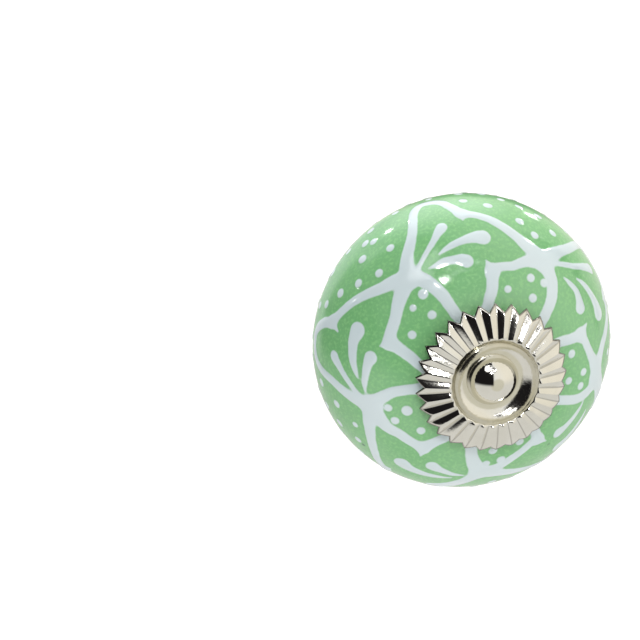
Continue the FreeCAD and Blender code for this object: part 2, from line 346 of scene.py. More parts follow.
def glaze_material():
    material, tree, place = new_material("glaze")
    distance = tree.node("ShaderNodeAttribute", {"attribute_name": "slip"})["Fac"]
    edge = distance + (tree.noise(place, WOBBLES, 3) - 0.5) * EDGE_WOBBLE
    drawn = edge.step(EDGE_SOFTNESS, -EDGE_SOFTNESS)
    cloud = tree.noise(place, CLOUDS, 3)
    grain = tree.noise(place, GRAINS, 2)
    green = tree.blend(cloud.step(0.35, 0.7), GREEN_DEEP, GREEN)
    green = tree.blend(grain.step(0.42, 0.72) * 0.55, green, GREEN_PALE)
    # The green pools along the slip lines
    green = tree.blend(edge.step(0.45, 0.05) * 0.3, green, GREEN_DEEP)
    white = tree.blend(cloud.step(0.3, 0.8), SLIP, SLIP_PALE)
    pit = pits_in_glaze(tree, place)
    height = tree.noise(place, SWELLS, 2) * 0.8 + tree.noise(place, RIPPLES, 2) * 0.12 - pit * 0.5
    surface(
        tree,
        {
            "Base Color": tree.blend(pit * 0.8, tree.blend(drawn, green, white), PIT),
            "Roughness": tree.noise(place, 400, 3) * 0.06 + GLAZE_ROUGHNESS,
            "IOR": GLAZE_INDEX,
            "Normal": bumped(tree, height, GLAZE_WAVES),
        },
    )
    return material


glaze = glaze_material()
print("glaze:", len(glaze.node_tree.nodes), "nodes")

# %% [markdown]
# ## Metals
#
# The plated metals differ in colour, roughness and the depth of their marks. The point
# attribute `dark` is 1 where shade is painted on the plate: in the pleats' valleys and in
# a dark line along the cut edge of the teeth.
# %%
NICKEL = (0.83, 0.81, 0.735)
NICKEL_DEEP = (0.77, 0.75, 0.67)
ZINC = (0.60, 0.61, 0.62)
ZINC_DEEP = (0.48, 0.49, 0.51)
PAINTED_SHADE = (0.09, 0.08, 0.07)
METAL_CLOUDS, METAL_GRAINS, TURNING_LINES, SCRATCHES, DENTS = 420, 6500, 5200, 700, 2600
SCRATCH_STRETCH = (1.0, 1.0, 18.0)
LINE_TURN = 0.0006


def metal_material(name, colour, deep, roughness, marks, brushed=0.0, ripple=0.0):
    """Plated metal with marks of a depth in metres. brushed adds fine lines round the Y axis,
    and ripple the soft dents of pressing."""
    material, tree, place = new_material(name)
    x, y, z = tree.parts(place)
    angle = z.maths("ARCTAN2", x)
    radius = (x * x + z * z).maths("SQRT")
    around = tree.node("ShaderNodeCombineXYZ", {}, {0: angle * LINE_TURN, 1: y, 2: radius})[0]
    lines = tree.noise(around, TURNING_LINES, 2)
    cloud = tree.noise(place, METAL_CLOUDS, 3)
    grain = tree.noise(place, METAL_GRAINS, 3)
    stretched = tree.node("ShaderNodeMapping", {}, {"Vector": place, "Scale": SCRATCH_STRETCH})[0]
    scratch = tree.noise(stretched, SCRATCHES, 2)
    dark = tree.node("ShaderNodeAttribute", {"attribute_name": "dark"})["Fac"]
    plate = tree.blend(cloud.step(0.3, 0.75), deep, colour)
    height = grain * 0.5 + lines * brushed + scratch * 0.5 + tree.noise(place, DENTS, 2) * ripple
    surface(
        tree,
        {
            # The colour goes to painted shade where the point attribute `dark` is set
            "Base Color": tree.blend(dark * 0.85, plate, PAINTED_SHADE),
            "Metallic": 1.0,
            "Roughness": cloud * (roughness * 0.5) + grain * (roughness * 0.4) + roughness * 0.55,
            "Normal": bumped(tree, height, marks),
        },
    )
    return material


pressed = metal_material("pressed metal", NICKEL, NICKEL_DEEP, 0.11, 0.000003, ripple=4.0)
spun = metal_material("pressed metal, spun", NICKEL, NICKEL_DEEP, 0.2, 0.000003, brushed=1.2)
polished = metal_material("turned metal", NICKEL, NICKEL_DEEP, 0.06, 0.000001)
zinc = metal_material("zinc plate", ZINC, ZINC_DEEP, 0.4, 0.000008, brushed=0.6)
print("metals:", [item.name for item in (pressed, spun, polished, zinc)])

# %% [markdown]
# ## Pottery body
#
# The profile is two pairs of arcs, as in the construction model: a flat crown arc and a round
# shoulder arc in front of the widest section, and the same behind it.
# %%
WIDEST_Y = -19.0
WIDEST = 20.0
FRONT_RISE, FRONT_LAND, FRONT_FLATNESS = 14.2, 4.0, 1.542
BACK_RISE, BACK_LAND, BACK_FLATNESS = 12.0, 6.6, 1.28
BORE = 2.7
FRONT_STEPS, BACK_STEPS, BODY_AROUND = 112, 48, 560


def half_profile(rise, land, flatness, steps):
    """Points from the land to the widest section: radius, and height over that section."""
    plain = (rise**2 + land**2 - WIDEST**2) / (2 * rise)
    crown = flatness * math.hypot(WIDEST, plain)
    level = rise - math.sqrt(crown**2 - land**2)
    shoulder = (crown**2 - WIDEST**2 - level**2) / (2 * (crown - WIDEST))
    join = math.atan2(-level, WIDEST - shoulder)
    start = math.atan2(rise - level, land)
    lengths = [crown * (start - join), shoulder * join]
    shares = [max(2, round(steps * length / sum(lengths))) for length in lengths]
    return np.vstack(
        [
            bend((0, level), crown, math.degrees(start), math.degrees(join), shares[0]),
            bend((WIDEST - shoulder, 0), shoulder, math.degrees(join), 0, shares[1]),
        ]
    )


front = half_profile(FRONT_RISE, FRONT_LAND, FRONT_FLATNESS, FRONT_STEPS)
back = half_profile(BACK_RISE, BACK_LAND, BACK_FLATNESS, BACK_STEPS)
front_y, back_y = WIDEST_Y - FRONT_RISE, WIDEST_Y + BACK_RISE
face = np.vstack([[[WIDEST, WIDEST_Y]], front[::-1] * (1, -1) + (0, WIDEST_Y)])
body_outline = np.vstack(
    [
        run((BORE, back_y), (BACK_LAND, back_y), 3),
        back + (0, WIDEST_Y),
        face,
        run((FRONT_LAND, front_y), (BORE, front_y), 2)[1:],
        run((BORE, front_y), (BORE, back_y), 3),
        [[BORE, back_y]],
    ]
)
body = turned("pottery_body", body_outline, BODY_AROUND, glaze)

# %% [markdown]
# ## Strokes of slip
#
# The pattern was trailed freehand: five petals between five knots, each petal with an outer
# line, an inner loop and three drops, and dots in the fields between them. Places are the
# angle round the axis in degrees and the distance from the axis along the surface in
# millimetres. The third number is half the line's width there. A line is a stroke up to its
# tip, a short pointed cusp at the tip, and a stroke down to the next knot.
# %%
KNOT_A = (128.5, 16.6, 1.2)
KNOT_B = (61.0, 16.4, 1.3)
KNOT_C = (196.3, 15.8, 1.3)
KNOT_D = (351.3, 16.5, 1.3)
KNOT_E = (270.0, 15.0, 1.3)
STROKES = {
    "top petal, outer line": [
        [KNOT_A, (124.8, 18.6, 0.85), (119.2, 20.6, 0.7), (115.2, 22.7, 0.62), (112.6, 25.0, 0.6),
         (108.9, 26.8, 0.62), (104.6, 26.9, 0.65), (101.0, 26.0, 0.65), (98.6, 24.3, 0.68),
         (96.0, 22.5, 0.75)],
        [(96.0, 22.5, 0.75), (96.3, 21.2, 0.1)],
        [(96.0, 22.5, 0.75), (91.2, 21.9, 0.62), (87.3, 21.3, 0.64), (83.4, 20.5, 0.68),
         (79.2, 19.5, 0.72), (74.7, 18.5, 0.78), (70.0, 17.6, 0.95), KNOT_B],
    ],
    "top petal, inner loop": [
        [KNOT_A, (124.7, 15.6, 0.95), (121.5, 13.9, 0.85), (119.7, 12.1, 0.78), (119.1, 10.5, 0.72),
         (118.0, 9.0, 0.7), (113.0, 8.0, 0.6), (103.0, 7.9, 0.6), (95.5, 8.7, 0.65),
         (91.4, 10.0, 0.7), (88.8, 11.6, 0.74), (88.2, 13.4, 0.8)],
        [(88.2, 13.5, 0.8), (90.9, 14.9, 0.1)],
        [(88.2, 13.5, 0.8), (84.6, 14.0, 0.6), (76.7, 14.4, 0.58), (70.0, 15.4, 0.75), KNOT_B],
    ],
    "top petal, drops": [
        [(122.6, 16.9, 0.3), (116.4, 18.0, 0.33), (111.0, 19.2, 0.42), (107.5, 20.2, 0.6),
         (105.4, 20.8, 0.74)],
        [(111.2, 17.2, 0.12), (108.0, 17.5, 0.32), (103.5, 17.8, 0.46), (98.0, 18.1, 0.6),
         (93.5, 18.2, 0.85), (90.5, 18.1, 1.05)],
        [(118.4, 16.1, 0.12), (115.0, 16.0, 0.36), (111.0, 16.0, 0.52), (106.0, 15.8, 0.58),
         (102.6, 15.5, 0.75), (100.5, 15.2, 0.85)],
    ],
    "right petal, outer line": [
        [KNOT_B, (55.4, 18.7, 0.85), (49.8, 20.9, 0.68), (45.2, 23.4, 0.62), (41.5, 25.4, 0.62),
         (35.0, 26.5, 0.65), (28.0, 25.7, 0.65), (23.5, 23.8, 0.7), (21.3, 22.4, 0.75)],
        [(21.3, 22.4, 0.75), (21.8, 21.1, 0.1)],
        [(21.3, 22.4, 0.75), (17.0, 21.7, 0.64), (13.2, 20.5, 0.66), (9.6, 19.1, 0.7),
         (5.3, 17.7, 0.74), (359.2, 16.8, 0.9), KNOT_D],
    ],
    "right petal, inner loop": [
        [KNOT_B, (56.8, 15.4, 1.0), (52.4, 14.2, 0.85), (48.2, 12.3, 0.78), (46.0, 10.5, 0.72),
         (44.0, 8.9, 0.7), (38.0, 7.9, 0.6), (29.0, 8.0, 0.6), (23.5, 9.0, 0.65),
         (21.5, 10.4, 0.68), (19.4, 11.8, 0.7), (18.3, 13.3, 0.78)],
        [(18.3, 13.4, 0.78), (21.5, 15.0, 0.1)],
        [(18.3, 13.4, 0.78), (14.0, 13.8, 0.62), (9.8, 14.1, 0.62), (5.0, 14.6, 0.66),
         (0.6, 15.2, 0.8), KNOT_D],
    ],
    "right petal, drops": [
        [(57.0, 17.0, 0.35), (52.5, 17.4, 0.36), (44.8, 18.9, 0.42), (38.5, 20.9, 0.56),
         (35.0, 22.1, 0.74)],
        [(41.0, 17.6, 0.12), (36.5, 18.0, 0.4), (32.0, 18.2, 0.5), (25.5, 18.3, 0.72),
         (20.5, 18.2, 1.05)],
        [(47.6, 16.1, 0.12), (43.5, 16.1, 0.36), (38.5, 16.1, 0.46), (34.0, 15.6, 0.62),
         (30.7, 15.1, 0.85)],
    ],
    "lower right petal, outer line": [
        [KNOT_D, (346.8, 18.5, 0.85), (342.0, 20.5, 0.7), (338.0, 22.7, 0.64), (335.5, 25.0, 0.62),
         (329.5, 26.6, 0.65), (320.0, 26.2, 0.65), (313.0, 24.4, 0.7), (310.0, 22.6, 0.75)],
        [(310.0, 22.6, 0.75), (310.6, 21.3, 0.1)],
        [(310.0, 22.6, 0.75), (305.5, 21.4, 0.66), (300.5, 19.8, 0.68), (294.0, 18.1, 0.72),
         (286.8, 16.8, 0.8), (279.6, 15.8, 0.95), KNOT_E],
    ],
    "lower right petal, inner loop": [
        [KNOT_D, (345.2, 15.9, 0.9), (339.5, 13.9, 0.76), (336.9, 11.3, 0.7), (334.5, 9.4, 0.68),
         (328.0, 8.0, 0.6), (317.0, 8.0, 0.6), (310.5, 9.2, 0.65), (308.4, 10.7, 0.7),
         (306.4, 12.3, 0.78)],
        [(306.4, 12.4, 0.78), (309.6, 13.8, 0.1)],
        [(306.4, 12.4, 0.78), (302.0, 12.2, 0.62), (297.0, 12.5, 0.62), (287.4, 13.3, 0.68),
         (278.6, 14.3, 0.85), KNOT_E],
    ],
    "lower right petal, drops": [
        [(346.2, 17.0, 0.35), (341.2, 18.8, 0.4), (336.8, 20.6, 0.56), (334.2, 21.6, 0.74)],
        [(333.5, 17.5, 0.12), (327.0, 17.9, 0.45), (319.0, 18.2, 0.72), (312.5, 18.1, 1.05)],
        [(337.5, 15.4, 0.12), (332.5, 15.3, 0.38), (327.0, 15.1, 0.48), (321.5, 14.8, 0.62),
         (317.6, 14.5, 0.85)],
    ],
    "lower left petal, outer line": [
        [KNOT_E, (265.6, 16.9, 0.85), (261.4, 18.9, 0.7), (258.0, 20.9, 0.64), (255.6, 23.2, 0.62),
         (251.6, 25.5, 0.62), (245.5, 26.5, 0.65), (239.0, 25.7, 0.65), (235.4, 23.9, 0.7),
         (233.6, 22.5, 0.75)],
        [(233.6, 22.5, 0.75), (234.0, 21.2, 0.1)],
        [(233.6, 22.5, 0.75), (228.6, 21.6, 0.66), (221.2, 19.8, 0.68), (212.6, 18.2, 0.76),
         (204.6, 17.0, 0.95), KNOT_C],
    ],
    "lower left petal, inner loop": [
        [KNOT_E, (266.6, 13.6, 1.05), (262.8, 12.1, 0.85), (259.6, 10.5, 0.76), (256.8, 9.2, 0.7),
         (251.0, 8.0, 0.6), (243.5, 8.1, 0.6), (238.6, 9.1, 0.64), (236.4, 10.1, 0.66),
         (233.2, 11.4, 0.72), (231.2, 12.9, 0.82)],
        [(231.2, 13.0, 0.82), (234.4, 14.4, 0.1)],
        [(231.2, 13.0, 0.82), (224.4, 13.4, 0.7), (215.6, 14.0, 0.74), (208.6, 15.0, 0.9), KNOT_C],
    ],
    "lower left petal, drops": [
        [(265.0, 16.2, 0.35), (259.8, 18.1, 0.42), (255.8, 19.8, 0.56), (253.2, 20.9, 0.74)],
        [(257.0, 16.7, 0.12), (250.0, 17.2, 0.42), (243.5, 17.6, 0.6), (236.8, 17.8, 0.85),
         (232.4, 17.7, 1.08)],
        [(261.4, 15.7, 0.16), (256.6, 15.7, 0.36), (252.4, 15.5, 0.46), (247.6, 15.3, 0.66),
         (243.8, 15.1, 0.88)],
    ],
    "left petal, outer line": [
        [KNOT_C, (193.0, 18.0, 0.85), (189.9, 19.9, 0.7), (186.8, 21.9, 0.64), (185.0, 24.0, 0.62),
         (182.4, 25.8, 0.62), (177.0, 26.9, 0.65), (171.2, 26.7, 0.65), (166.8, 25.0, 0.68),
         (163.8, 22.9, 0.74)],
        [(163.8, 22.9, 0.74), (166.0, 21.3, 0.1)],
        [(163.8, 22.9, 0.74), (158.8, 21.9, 0.6), (152.2, 20.7, 0.6), (146.4, 19.5, 0.65),
         (140.6, 18.3, 0.78), (134.6, 17.5, 0.95), KNOT_A],
    ],
    "left petal, inner loop": [
        [KNOT_C, (193.6, 14.8, 0.95), (191.2, 13.7, 0.82), (188.8, 12.3, 0.72), (188.0, 10.8, 0.68),
         (187.6, 9.3, 0.7), (183.0, 8.0, 0.6), (175.5, 7.9, 0.6), (169.8, 8.7, 0.65),
         (167.0, 9.6, 0.68), (163.9, 10.7, 0.72), (161.2, 12.3, 0.76), (160.3, 13.5, 0.82)],
        [(160.3, 13.6, 0.82), (163.8, 14.7, 0.1)],
        [(160.3, 13.6, 0.82), (155.2, 14.0, 0.78), (147.2, 14.4, 0.74), (139.8, 15.3, 0.88),
         KNOT_A],
    ],
    "left petal, drops": [
        [(191.7, 17.1, 0.32), (185.4, 18.6, 0.4), (180.2, 20.0, 0.52), (176.2, 21.2, 0.74)],
        [(182.6, 17.1, 0.12), (178.6, 17.6, 0.4), (174.6, 18.0, 0.58), (167.0, 18.4, 0.78),
         (161.6, 18.3, 1.08)],
        [(189.2, 16.2, 0.12), (184.4, 16.2, 0.4), (180.0, 16.0, 0.5), (174.8, 15.8, 0.64),
         (171.2, 15.5, 0.87)],
    ],
}
DOTS = [
    # Between the knots and the rosette, four under each knot
    (128.2, 13.86), (137.2, 13.45), (132.2, 11.2), (150.1, 11.56), (57.3, 13.67), (65.6, 13.49),
    (78.5, 11.36), (60.2, 11.26), (198.4, 13.6), (203.0, 11.39), (207.1, 13.44), (220.5, 11.3),
    (9.6, 11.35), (355.5, 13.48), (350.8, 11.09), (347.1, 13.48), (275.7, 10.84), (295.6, 10.85),
    (281.1, 12.82), (272.0, 13.07),
    # Beyond the knots, outside the petals
    (126.8, 21.8), (137.5, 23.9), (132.8, 26.1), (130.1, 25.0), (136.5, 20.0), (145.1, 21.6),
    (152.7, 23.6), (159.8, 25.7), (92.7, 25.5), (84.3, 24.0), (77.2, 26.6), (70.8, 25.4),
    (72.8, 21.5), (66.5, 19.8), (57.5, 22.0), (197.3, 22.0), (206.4, 19.8), (207.4, 23.7),
    (214.8, 21.3), (359.5, 20.1), (353.0, 22.2), (2.6, 23.6), (8.4, 22.0), (346.0, 24.0),
    (15.5, 24.0), (352.4, 25.6), (278.5, 19.2), (272.0, 21.4), (282.2, 22.8), (288.0, 21.2),
    (267.0, 24.2), (296.5, 23.4), (277.2, 25.6), (223.5, 24.2), (190.5, 25.0), (200.8, 25.6),
    (213.0, 25.8), (48.6, 26.0), (63.2, 24.6),
]
print("strokes:", sum(len(group) for group in STROKES.values()), "dots:", len(DOTS))

# %% [markdown]
# ## From strokes to a distance
#
# Each stroke becomes a smooth track on the body. The distance from a place to the pattern is
# the smallest one to any track's edge, and neighbouring strokes melt into each other a little.
# %%


def on_body(angle, along):
    """Places on the body in millimetres from the angle and the distance along the surface."""
    track = np.vstack([[[0.0, front_y]], face[::-1], back[::-1] + (0, WIDEST_Y)])
    lengths = np.concatenate([[0], np.cumsum(np.hypot(*np.diff(track, axis=0).T))])
    radius = np.interp(along, lengths, track[:, 0])
    y = np.interp(along, lengths, track[:, 1])
    angle = np.radians(angle)
    return np.stack([radius * np.cos(angle), y, radius * np.sin(angle)], axis=-1)


def smooth_track(points, steps=5):
    """Finer points on a smooth curve through the given ones. Angles may pass 360 degrees."""
    points = np.array(points, float)
    points[:, 0] = np.degrees(np.unwrap(np.radians(points[:, 0])))
    if len(points) < 3:
        return points
    ends = np.vstack([2 * points[0] - points[1], points, 2 * points[-1] - points[-2]])
    made = []
    for p0, p1, p2, p3 in zip(ends, ends[1:], ends[2:], ends[3:]):
        for t in np.linspace(0, 1, steps, endpoint=False):
            made.append(
                0.5 * (2 * p1 + (p2 - p0) * t + (2 * p0 - 5 * p1 + 4 * p2 - p3) * t**2
                       + (3 * p1 - p0 - 3 * p2 + p3) * t**3)
            )
    return np.array([*made, points[-1]])


def stroke_distance(places, track):
    """Distance in millimetres from each place to the edge of one stroke."""
    centres = on_body(track[:, 0], track[:, 1])
    widths = track[:, 2]
    nearest = np.full(len(places), 50.0)
    for start, end, first, last in zip(centres, centres[1:], widths, widths[1:]):
        way = end - start
        share = np.clip((places - start) @ way / (way @ way), 0, 1)
        gap = np.linalg.norm(places - start - share[:, None] * way, axis=1)
        nearest = np.minimum(nearest, gap - first - share * (last - first))
    return nearest


def melt(first, second, softness):
    """Smaller of two distances, with the inner corners between them filled."""
    share = np.clip(0.5 + 0.5 * (second - first) / softness, 0, 1)
    return second + (first - second) * share - softness * share * (1 - share)


print("a place on the body:", on_body(90.0, 20.0).round(2).tolist())

# %% [markdown]
# ## Raised slip
#
# The green lies a little lower than the slip, with a soft flank between them. Rows of dots that
# the front doesn't show go on to just behind the widest section.
# %%
DOT_RADIUS, DOT_SPREAD = 0.56, 0.07
OUTER_ROWS = [(28.6, 31), (30.9, 30), (33.2, 28)]
TURN_SPREAD, ROW_SPREAD = 1.6, 0.35
RELIEF, FLANK_START, FLANK_WIDTH = 0.085, -0.42, 0.6
MELTING = 0.55
FAR_AWAY = 5.0


def outer_dots():
    """Staggered rows of dots beyond the petals. A row has its distance along and its count."""
    chance = np.random.default_rng(7)
    made = []
    for row, (along, count) in enumerate(OUTER_ROWS):
        turn = (np.arange(count) + 0.5 * (row % 2)) * 360 / count
        turn += chance.normal(0, TURN_SPREAD, count)
        made += list(zip(turn, along + chance.normal(0, ROW_SPREAD, count)))
    return made


def slip_distance(places):
    """Distance in millimetres from each place to the nearest edge of slip."""
    nearest = np.full(len(places), FAR_AWAY)
    for stroke in (stroke for group in STROKES.values() for stroke in group):
        nearest = melt(nearest, stroke_distance(places, smooth_track(stroke)), MELTING)
    chance = np.random.default_rng(3)
    for angle, along in [*DOTS, *outer_dots()]:
        centre = on_body(np.array(angle), np.array(along))
        size = DOT_RADIUS * chance.normal(1, DOT_SPREAD)
        nearest = np.minimum(nearest, np.linalg.norm(places - centre, axis=1) - size)
    return nearest


def draw_slip(mesh):
    """Distance of every point to the slip's edge, and the green sunk below the slip."""
    places = np.empty(len(mesh.vertices) * 3, np.float32)
    normals = np.empty(len(mesh.vertices) * 3, np.float32)
    mesh.vertices.foreach_get("co", places)
    mesh.vertex_normals.foreach_get("vector", normals)
    places = places.reshape(-1, 3).astype(float) / MM
    normals = normals.reshape(-1, 3)
    distance = np.full(len(places), FAR_AWAY)
    radius = np.hypot(places[:, 0], places[:, 2])
    decorated = np.flatnonzero((places[:, 1] < WIDEST_Y + 9) & (radius > FRONT_LAND + 1))
    distance[decorated] = slip_distance(places[decorated])
    share = np.clip((distance - FLANK_START) / FLANK_WIDTH, 0, 1)
    sunk = RELIEF * share * share * (3 - 2 * share)
    # The flats under the rosette and the cup stay at their height
    sunk[(radius < FRONT_LAND + 0.5) | (places[:, 1] > back_y - 0.3)] = 0
    places -= normals * sunk[:, None]
    mesh.vertices.foreach_set("co", (places * MM).astype(np.float32).ravel())
    slip = mesh.attributes.new("slip", "FLOAT", "POINT")
    slip.data.foreach_set("value", distance.astype(np.float32))
    mesh.update()
    print("points under slip:", int((distance < 0).sum()))


draw_slip(body.data)

# %% [markdown]
# ## Pleated rosette
#
# The rosette is one sheet: a flat seat round the hole, a dish that rises to a crest, and a
# skirt of 29 sharp pleats whose valleys run out into teeth. One pleat is a grid whose columns
# go round the sheet's whole section. The group bends it and sets 29 of them round the axis.
# %%
SHEET = 0.35
SEAT, CREST, CREST_RISE = 3.35, 5.6, 1.85
TIP, SKIRT_DROP, PLEAT_DEPTH, NOTCH = 9.75, 1.6, 0.55, 0.88
SKIRT_BOW, CREST_ROUND, ROSETTE_BORE = 0.19, 0.4, 1.9
SOFT_EDGE, TIP_EDGE = 0.05, 0.03
PLEATS, STEPS_ACROSS = 29, 24
ROSETTE_TURN = -3.88
ROSETTE_WELD = 4e-7


def rosette_section():
    """Closed section of the sheet along a ridge: radius, and height over the seat."""
    dish = (CREST - SEAT) ** 2 / (2 * CREST_RISE) + CREST_RISE / 2
    steep = math.asin((CREST - SEAT) / dish)
    slope = SKIRT_DROP / (TIP - CREST)
    lean = math.atan(slope)
    dish_centre = (SEAT, SHEET + dish)
    crest = np.array([CREST, SHEET + CREST_RISE])
    # The crest is rounded between the end of the dish and the start of the skirt
    reach = CREST_ROUND * math.tan((steep + lean) / 2)
    before = crest - reach * np.array([math.cos(steep), math.sin(steep)])
    centre = before + CREST_ROUND * np.array([math.sin(steep), -math.cos(steep)])
    after = centre + CREST_ROUND * np.array([math.sin(lean), math.cos(lean)])
    steep, lean = math.degrees(steep), math.degrees(lean)
    tip = crest + (TIP - CREST, -SKIRT_DROP)
    under_tip = tip - (0, SHEET * 1.1)
    from_edge = np.array([TIP_EDGE, -TIP_EDGE * slope])
    root_radius = CREST + 0.3
    root = (root_radius, under_tip[1] + slope * (TIP - root_radius))
    hole = ROSETTE_BORE + SOFT_EDGE
    points = np.vstack(
        [
            bend(dish_centre, dish, -90, -90 + steep - math.degrees(reach / dish), 16),
            bend(centre, CREST_ROUND, 90 + steep, 90 - lean, 9),
            run(after, tip - from_edge, 14),
            [tip - (0, SOFT_EDGE), under_tip + (0, SOFT_EDGE)],
            run(under_tip - from_edge, root, 10),
            bend(dish_centre, dish + SHEET, -90 + steep - 11, -90, 12),
            [[SEAT, 0], [hole, 0], [ROSETTE_BORE, SOFT_EDGE]],
            [[ROSETTE_BORE, SHEET - SOFT_EDGE], [hole, SHEET]],
        ]
    )
    return np.vstack([points, points[:1]])


def rosette_group():
    group, tree, given = new_group(
        "pleated rosette",
        {"Outline": "Object", "Across": "Int", "Pleats": "Int", "Depth": "Float", "Notch": "Float",
         "Crest": "Float", "Tip": "Float", "Slope": "Float", "Bow": "Float", "Turn": "Float",
         "Finish": "Material"},
    )
    outline = tree.node("GeometryNodeObjectInfo", {}, {"Object": given["Outline"]})["Geometry"]
    count = tree.node("GeometryNodeAttributeDomainSize", {}, {"Geometry": outline})["Point Count"]
    grid = tree.node(
        "GeometryNodeMeshGrid", {}, {"Vertices X": given["Across"] + 1, "Vertices Y": count}
    )["Mesh"]
    index = tree.node("GeometryNodeInputIndex")[0]
    # Runs from -1 at one valley over 0 at the ridge to 1 at the next valley
    across = (index / count).maths("FLOOR") / given["Across"] * 2.0 - 1.0
    sampled = tree.node(
        "GeometryNodeSampleIndex",
        {"data_type": "FLOAT_VECTOR"},
        {
            "Geometry": outline,
            "Value": tree.node("GeometryNodeInputPosition")[0],
            "Index": index.maths("MODULO", count),
        },
    )[0]
    radius, height, _ = tree.parts(sampled)
    # Distance from the ridge, rounded a little at the ridge and at the valley
    away = across.maths("ABSOLUTE")
    fold = away.maths("SMOOTH_MAX", 0.0, 0.12).maths("POWER", 1.2).maths("SMOOTH_MIN", 1.0, 0.3)
    skirt = ((radius - given["Crest"]) / (given["Tip"] - given["Crest"])).maths("MAXIMUM", 0.0)
    drawn_in = skirt * (1.0 - away) * given["Notch"]
    pleated = radius.step(given["Crest"] - 0.15 * MM, given["Crest"] + 0.35 * MM)
    lowered = fold * given["Depth"] * pleated * (radius - drawn_in) / given["Tip"]
    new_radius = radius - drawn_in
    share = (new_radius - given["Crest"]) / (given["Tip"] - given["Crest"])
    # The skirt bulges most towards its tips
    bulge = (share * (1.0 - share.maths("POWER", 3.0))).maths("MAXIMUM", 0.0)
    bowed = bulge * 2.1 * given["Bow"]
    new_height = height + drawn_in * given["Slope"] - lowered + bowed
    angle = across * math.pi / given["Pleats"]
    right, up = new_radius * angle.maths("COSINE"), new_radius * angle.maths("SINE")
    place = tree.node("ShaderNodeCombineXYZ", {}, {0: right, 1: new_height * -1.0, 2: up})[0]
    pleat = tree.node("GeometryNodeSetPosition", {}, {"Geometry": grid, "Position": place})[0]
    # Painted shade in the valleys, and a painted dark line along the cut edge round the teeth
    valley = away.step(0.84, 1.0) * pleated * 0.5
    cut_edge = radius.step(given["Tip"] - 0.02 * MM, given["Tip"] - 0.005 * MM)
    dark = valley.maths("MAXIMUM", cut_edge)
    pleat = tree.node(
        "GeometryNodeStoreNamedAttribute", {}, {"Geometry": pleat, "Name": "dark", "Value": dark}
    )[0]
    points = tree.node("GeometryNodePoints", {}, {"Count": given["Pleats"]})[0]
    turn = index / given["Pleats"] * -math.tau - given["Turn"]
    rotation = tree.node("ShaderNodeCombineXYZ", {}, {1: turn})[0]
    copies = tree.node(
        "GeometryNodeInstanceOnPoints", {}, {"Points": points, "Instance": pleat, "Rotation": rotation}
    )[0]
    solid = tree.node("GeometryNodeRealizeInstances", {}, {"Geometry": copies})[0]
    return finish_group(tree, group, solid, given["Finish"], welding=ROSETTE_WELD)


section_outline = outline_object(rosette_section())
rosette = grow(
    "pleated_rosette",
    rosette_group(),
    {
        "Outline": section_outline,
        "Across": STEPS_ACROSS,
        "Pleats": PLEATS,
        "Depth": PLEAT_DEPTH * MM,
        "Notch": NOTCH * MM,
        "Crest": CREST * MM,
        "Tip": TIP * MM,
        "Slope": SKIRT_DROP / (TIP - CREST),
        "Bow": SKIRT_BOW * MM,
        "Turn": math.radians(ROSETTE_TURN),
        "Finish": pressed,
    },
)
bpy.data.objects.remove(section_outline)


def shift(made, y):
    """Move a piece's own points along Y, so that its object stays at the origin."""
    places = np.empty(len(made.data.vertices) * 3, np.float32)
    made.data.vertices.foreach_get("co", places)
    places[1::3] += y * MM
    made.data.vertices.foreach_set("co", places)
    made.data.update()


shift(rosette, front_y)

# %% [markdown]
# ## Bolt
#
# One long bolt with a domed head on a thin collar: the dome is a cap of a ball. The thread is
# cut into the turned form by a second group: the surface sinks along a helix.
# %%
SEAT_Y = front_y - SHEET
COLLAR, COLLAR_DEPTH, COLLAR_ROUND, DOME, DOME_RISE = 3.25, 0.35, 0.08, 3.22, 2.35
SHANK, THREAD, PITCH, THREAD_CUT = 1.77, 2.0, 0.7, 0.36
THREAD_TOP, BOLT_END = -2.4, 25.0


def bolt_outline():
    face = SEAT_Y - COLLAR_DEPTH
    ball = (DOME**2 + DOME_RISE**2) / (2 * DOME_RISE)
    low = math.degrees(math.acos(DOME / ball))
    dome = bend((0, face - DOME_RISE + ball), ball, -low, -90, 30)
    rim = rounded(
        [(SHANK, SEAT_Y), (COLLAR, SEAT_Y), (COLLAR, face)],
        [0, COLLAR_ROUND, 0],
    )
    return np.vstack(
        [
            [[0, BOLT_END], [1.0, BOLT_END], [THREAD - 0.5, BOLT_END]],
            run((THREAD - 0.45, BOLT_END - 0.05), (THREAD, BOLT_END - 0.5), 4),
            run((THREAD, BOLT_END - 0.5), (THREAD, THREAD_TOP + 0.2), 480),
            run((THREAD, THREAD_TOP + 0.2), (SHANK, THREAD_TOP), 3),
            run((SHANK, THREAD_TOP), (SHANK, SEAT_Y), 12),
            rim,
            dome,
            [[0, face - DOME_RISE]],
        ]
    )


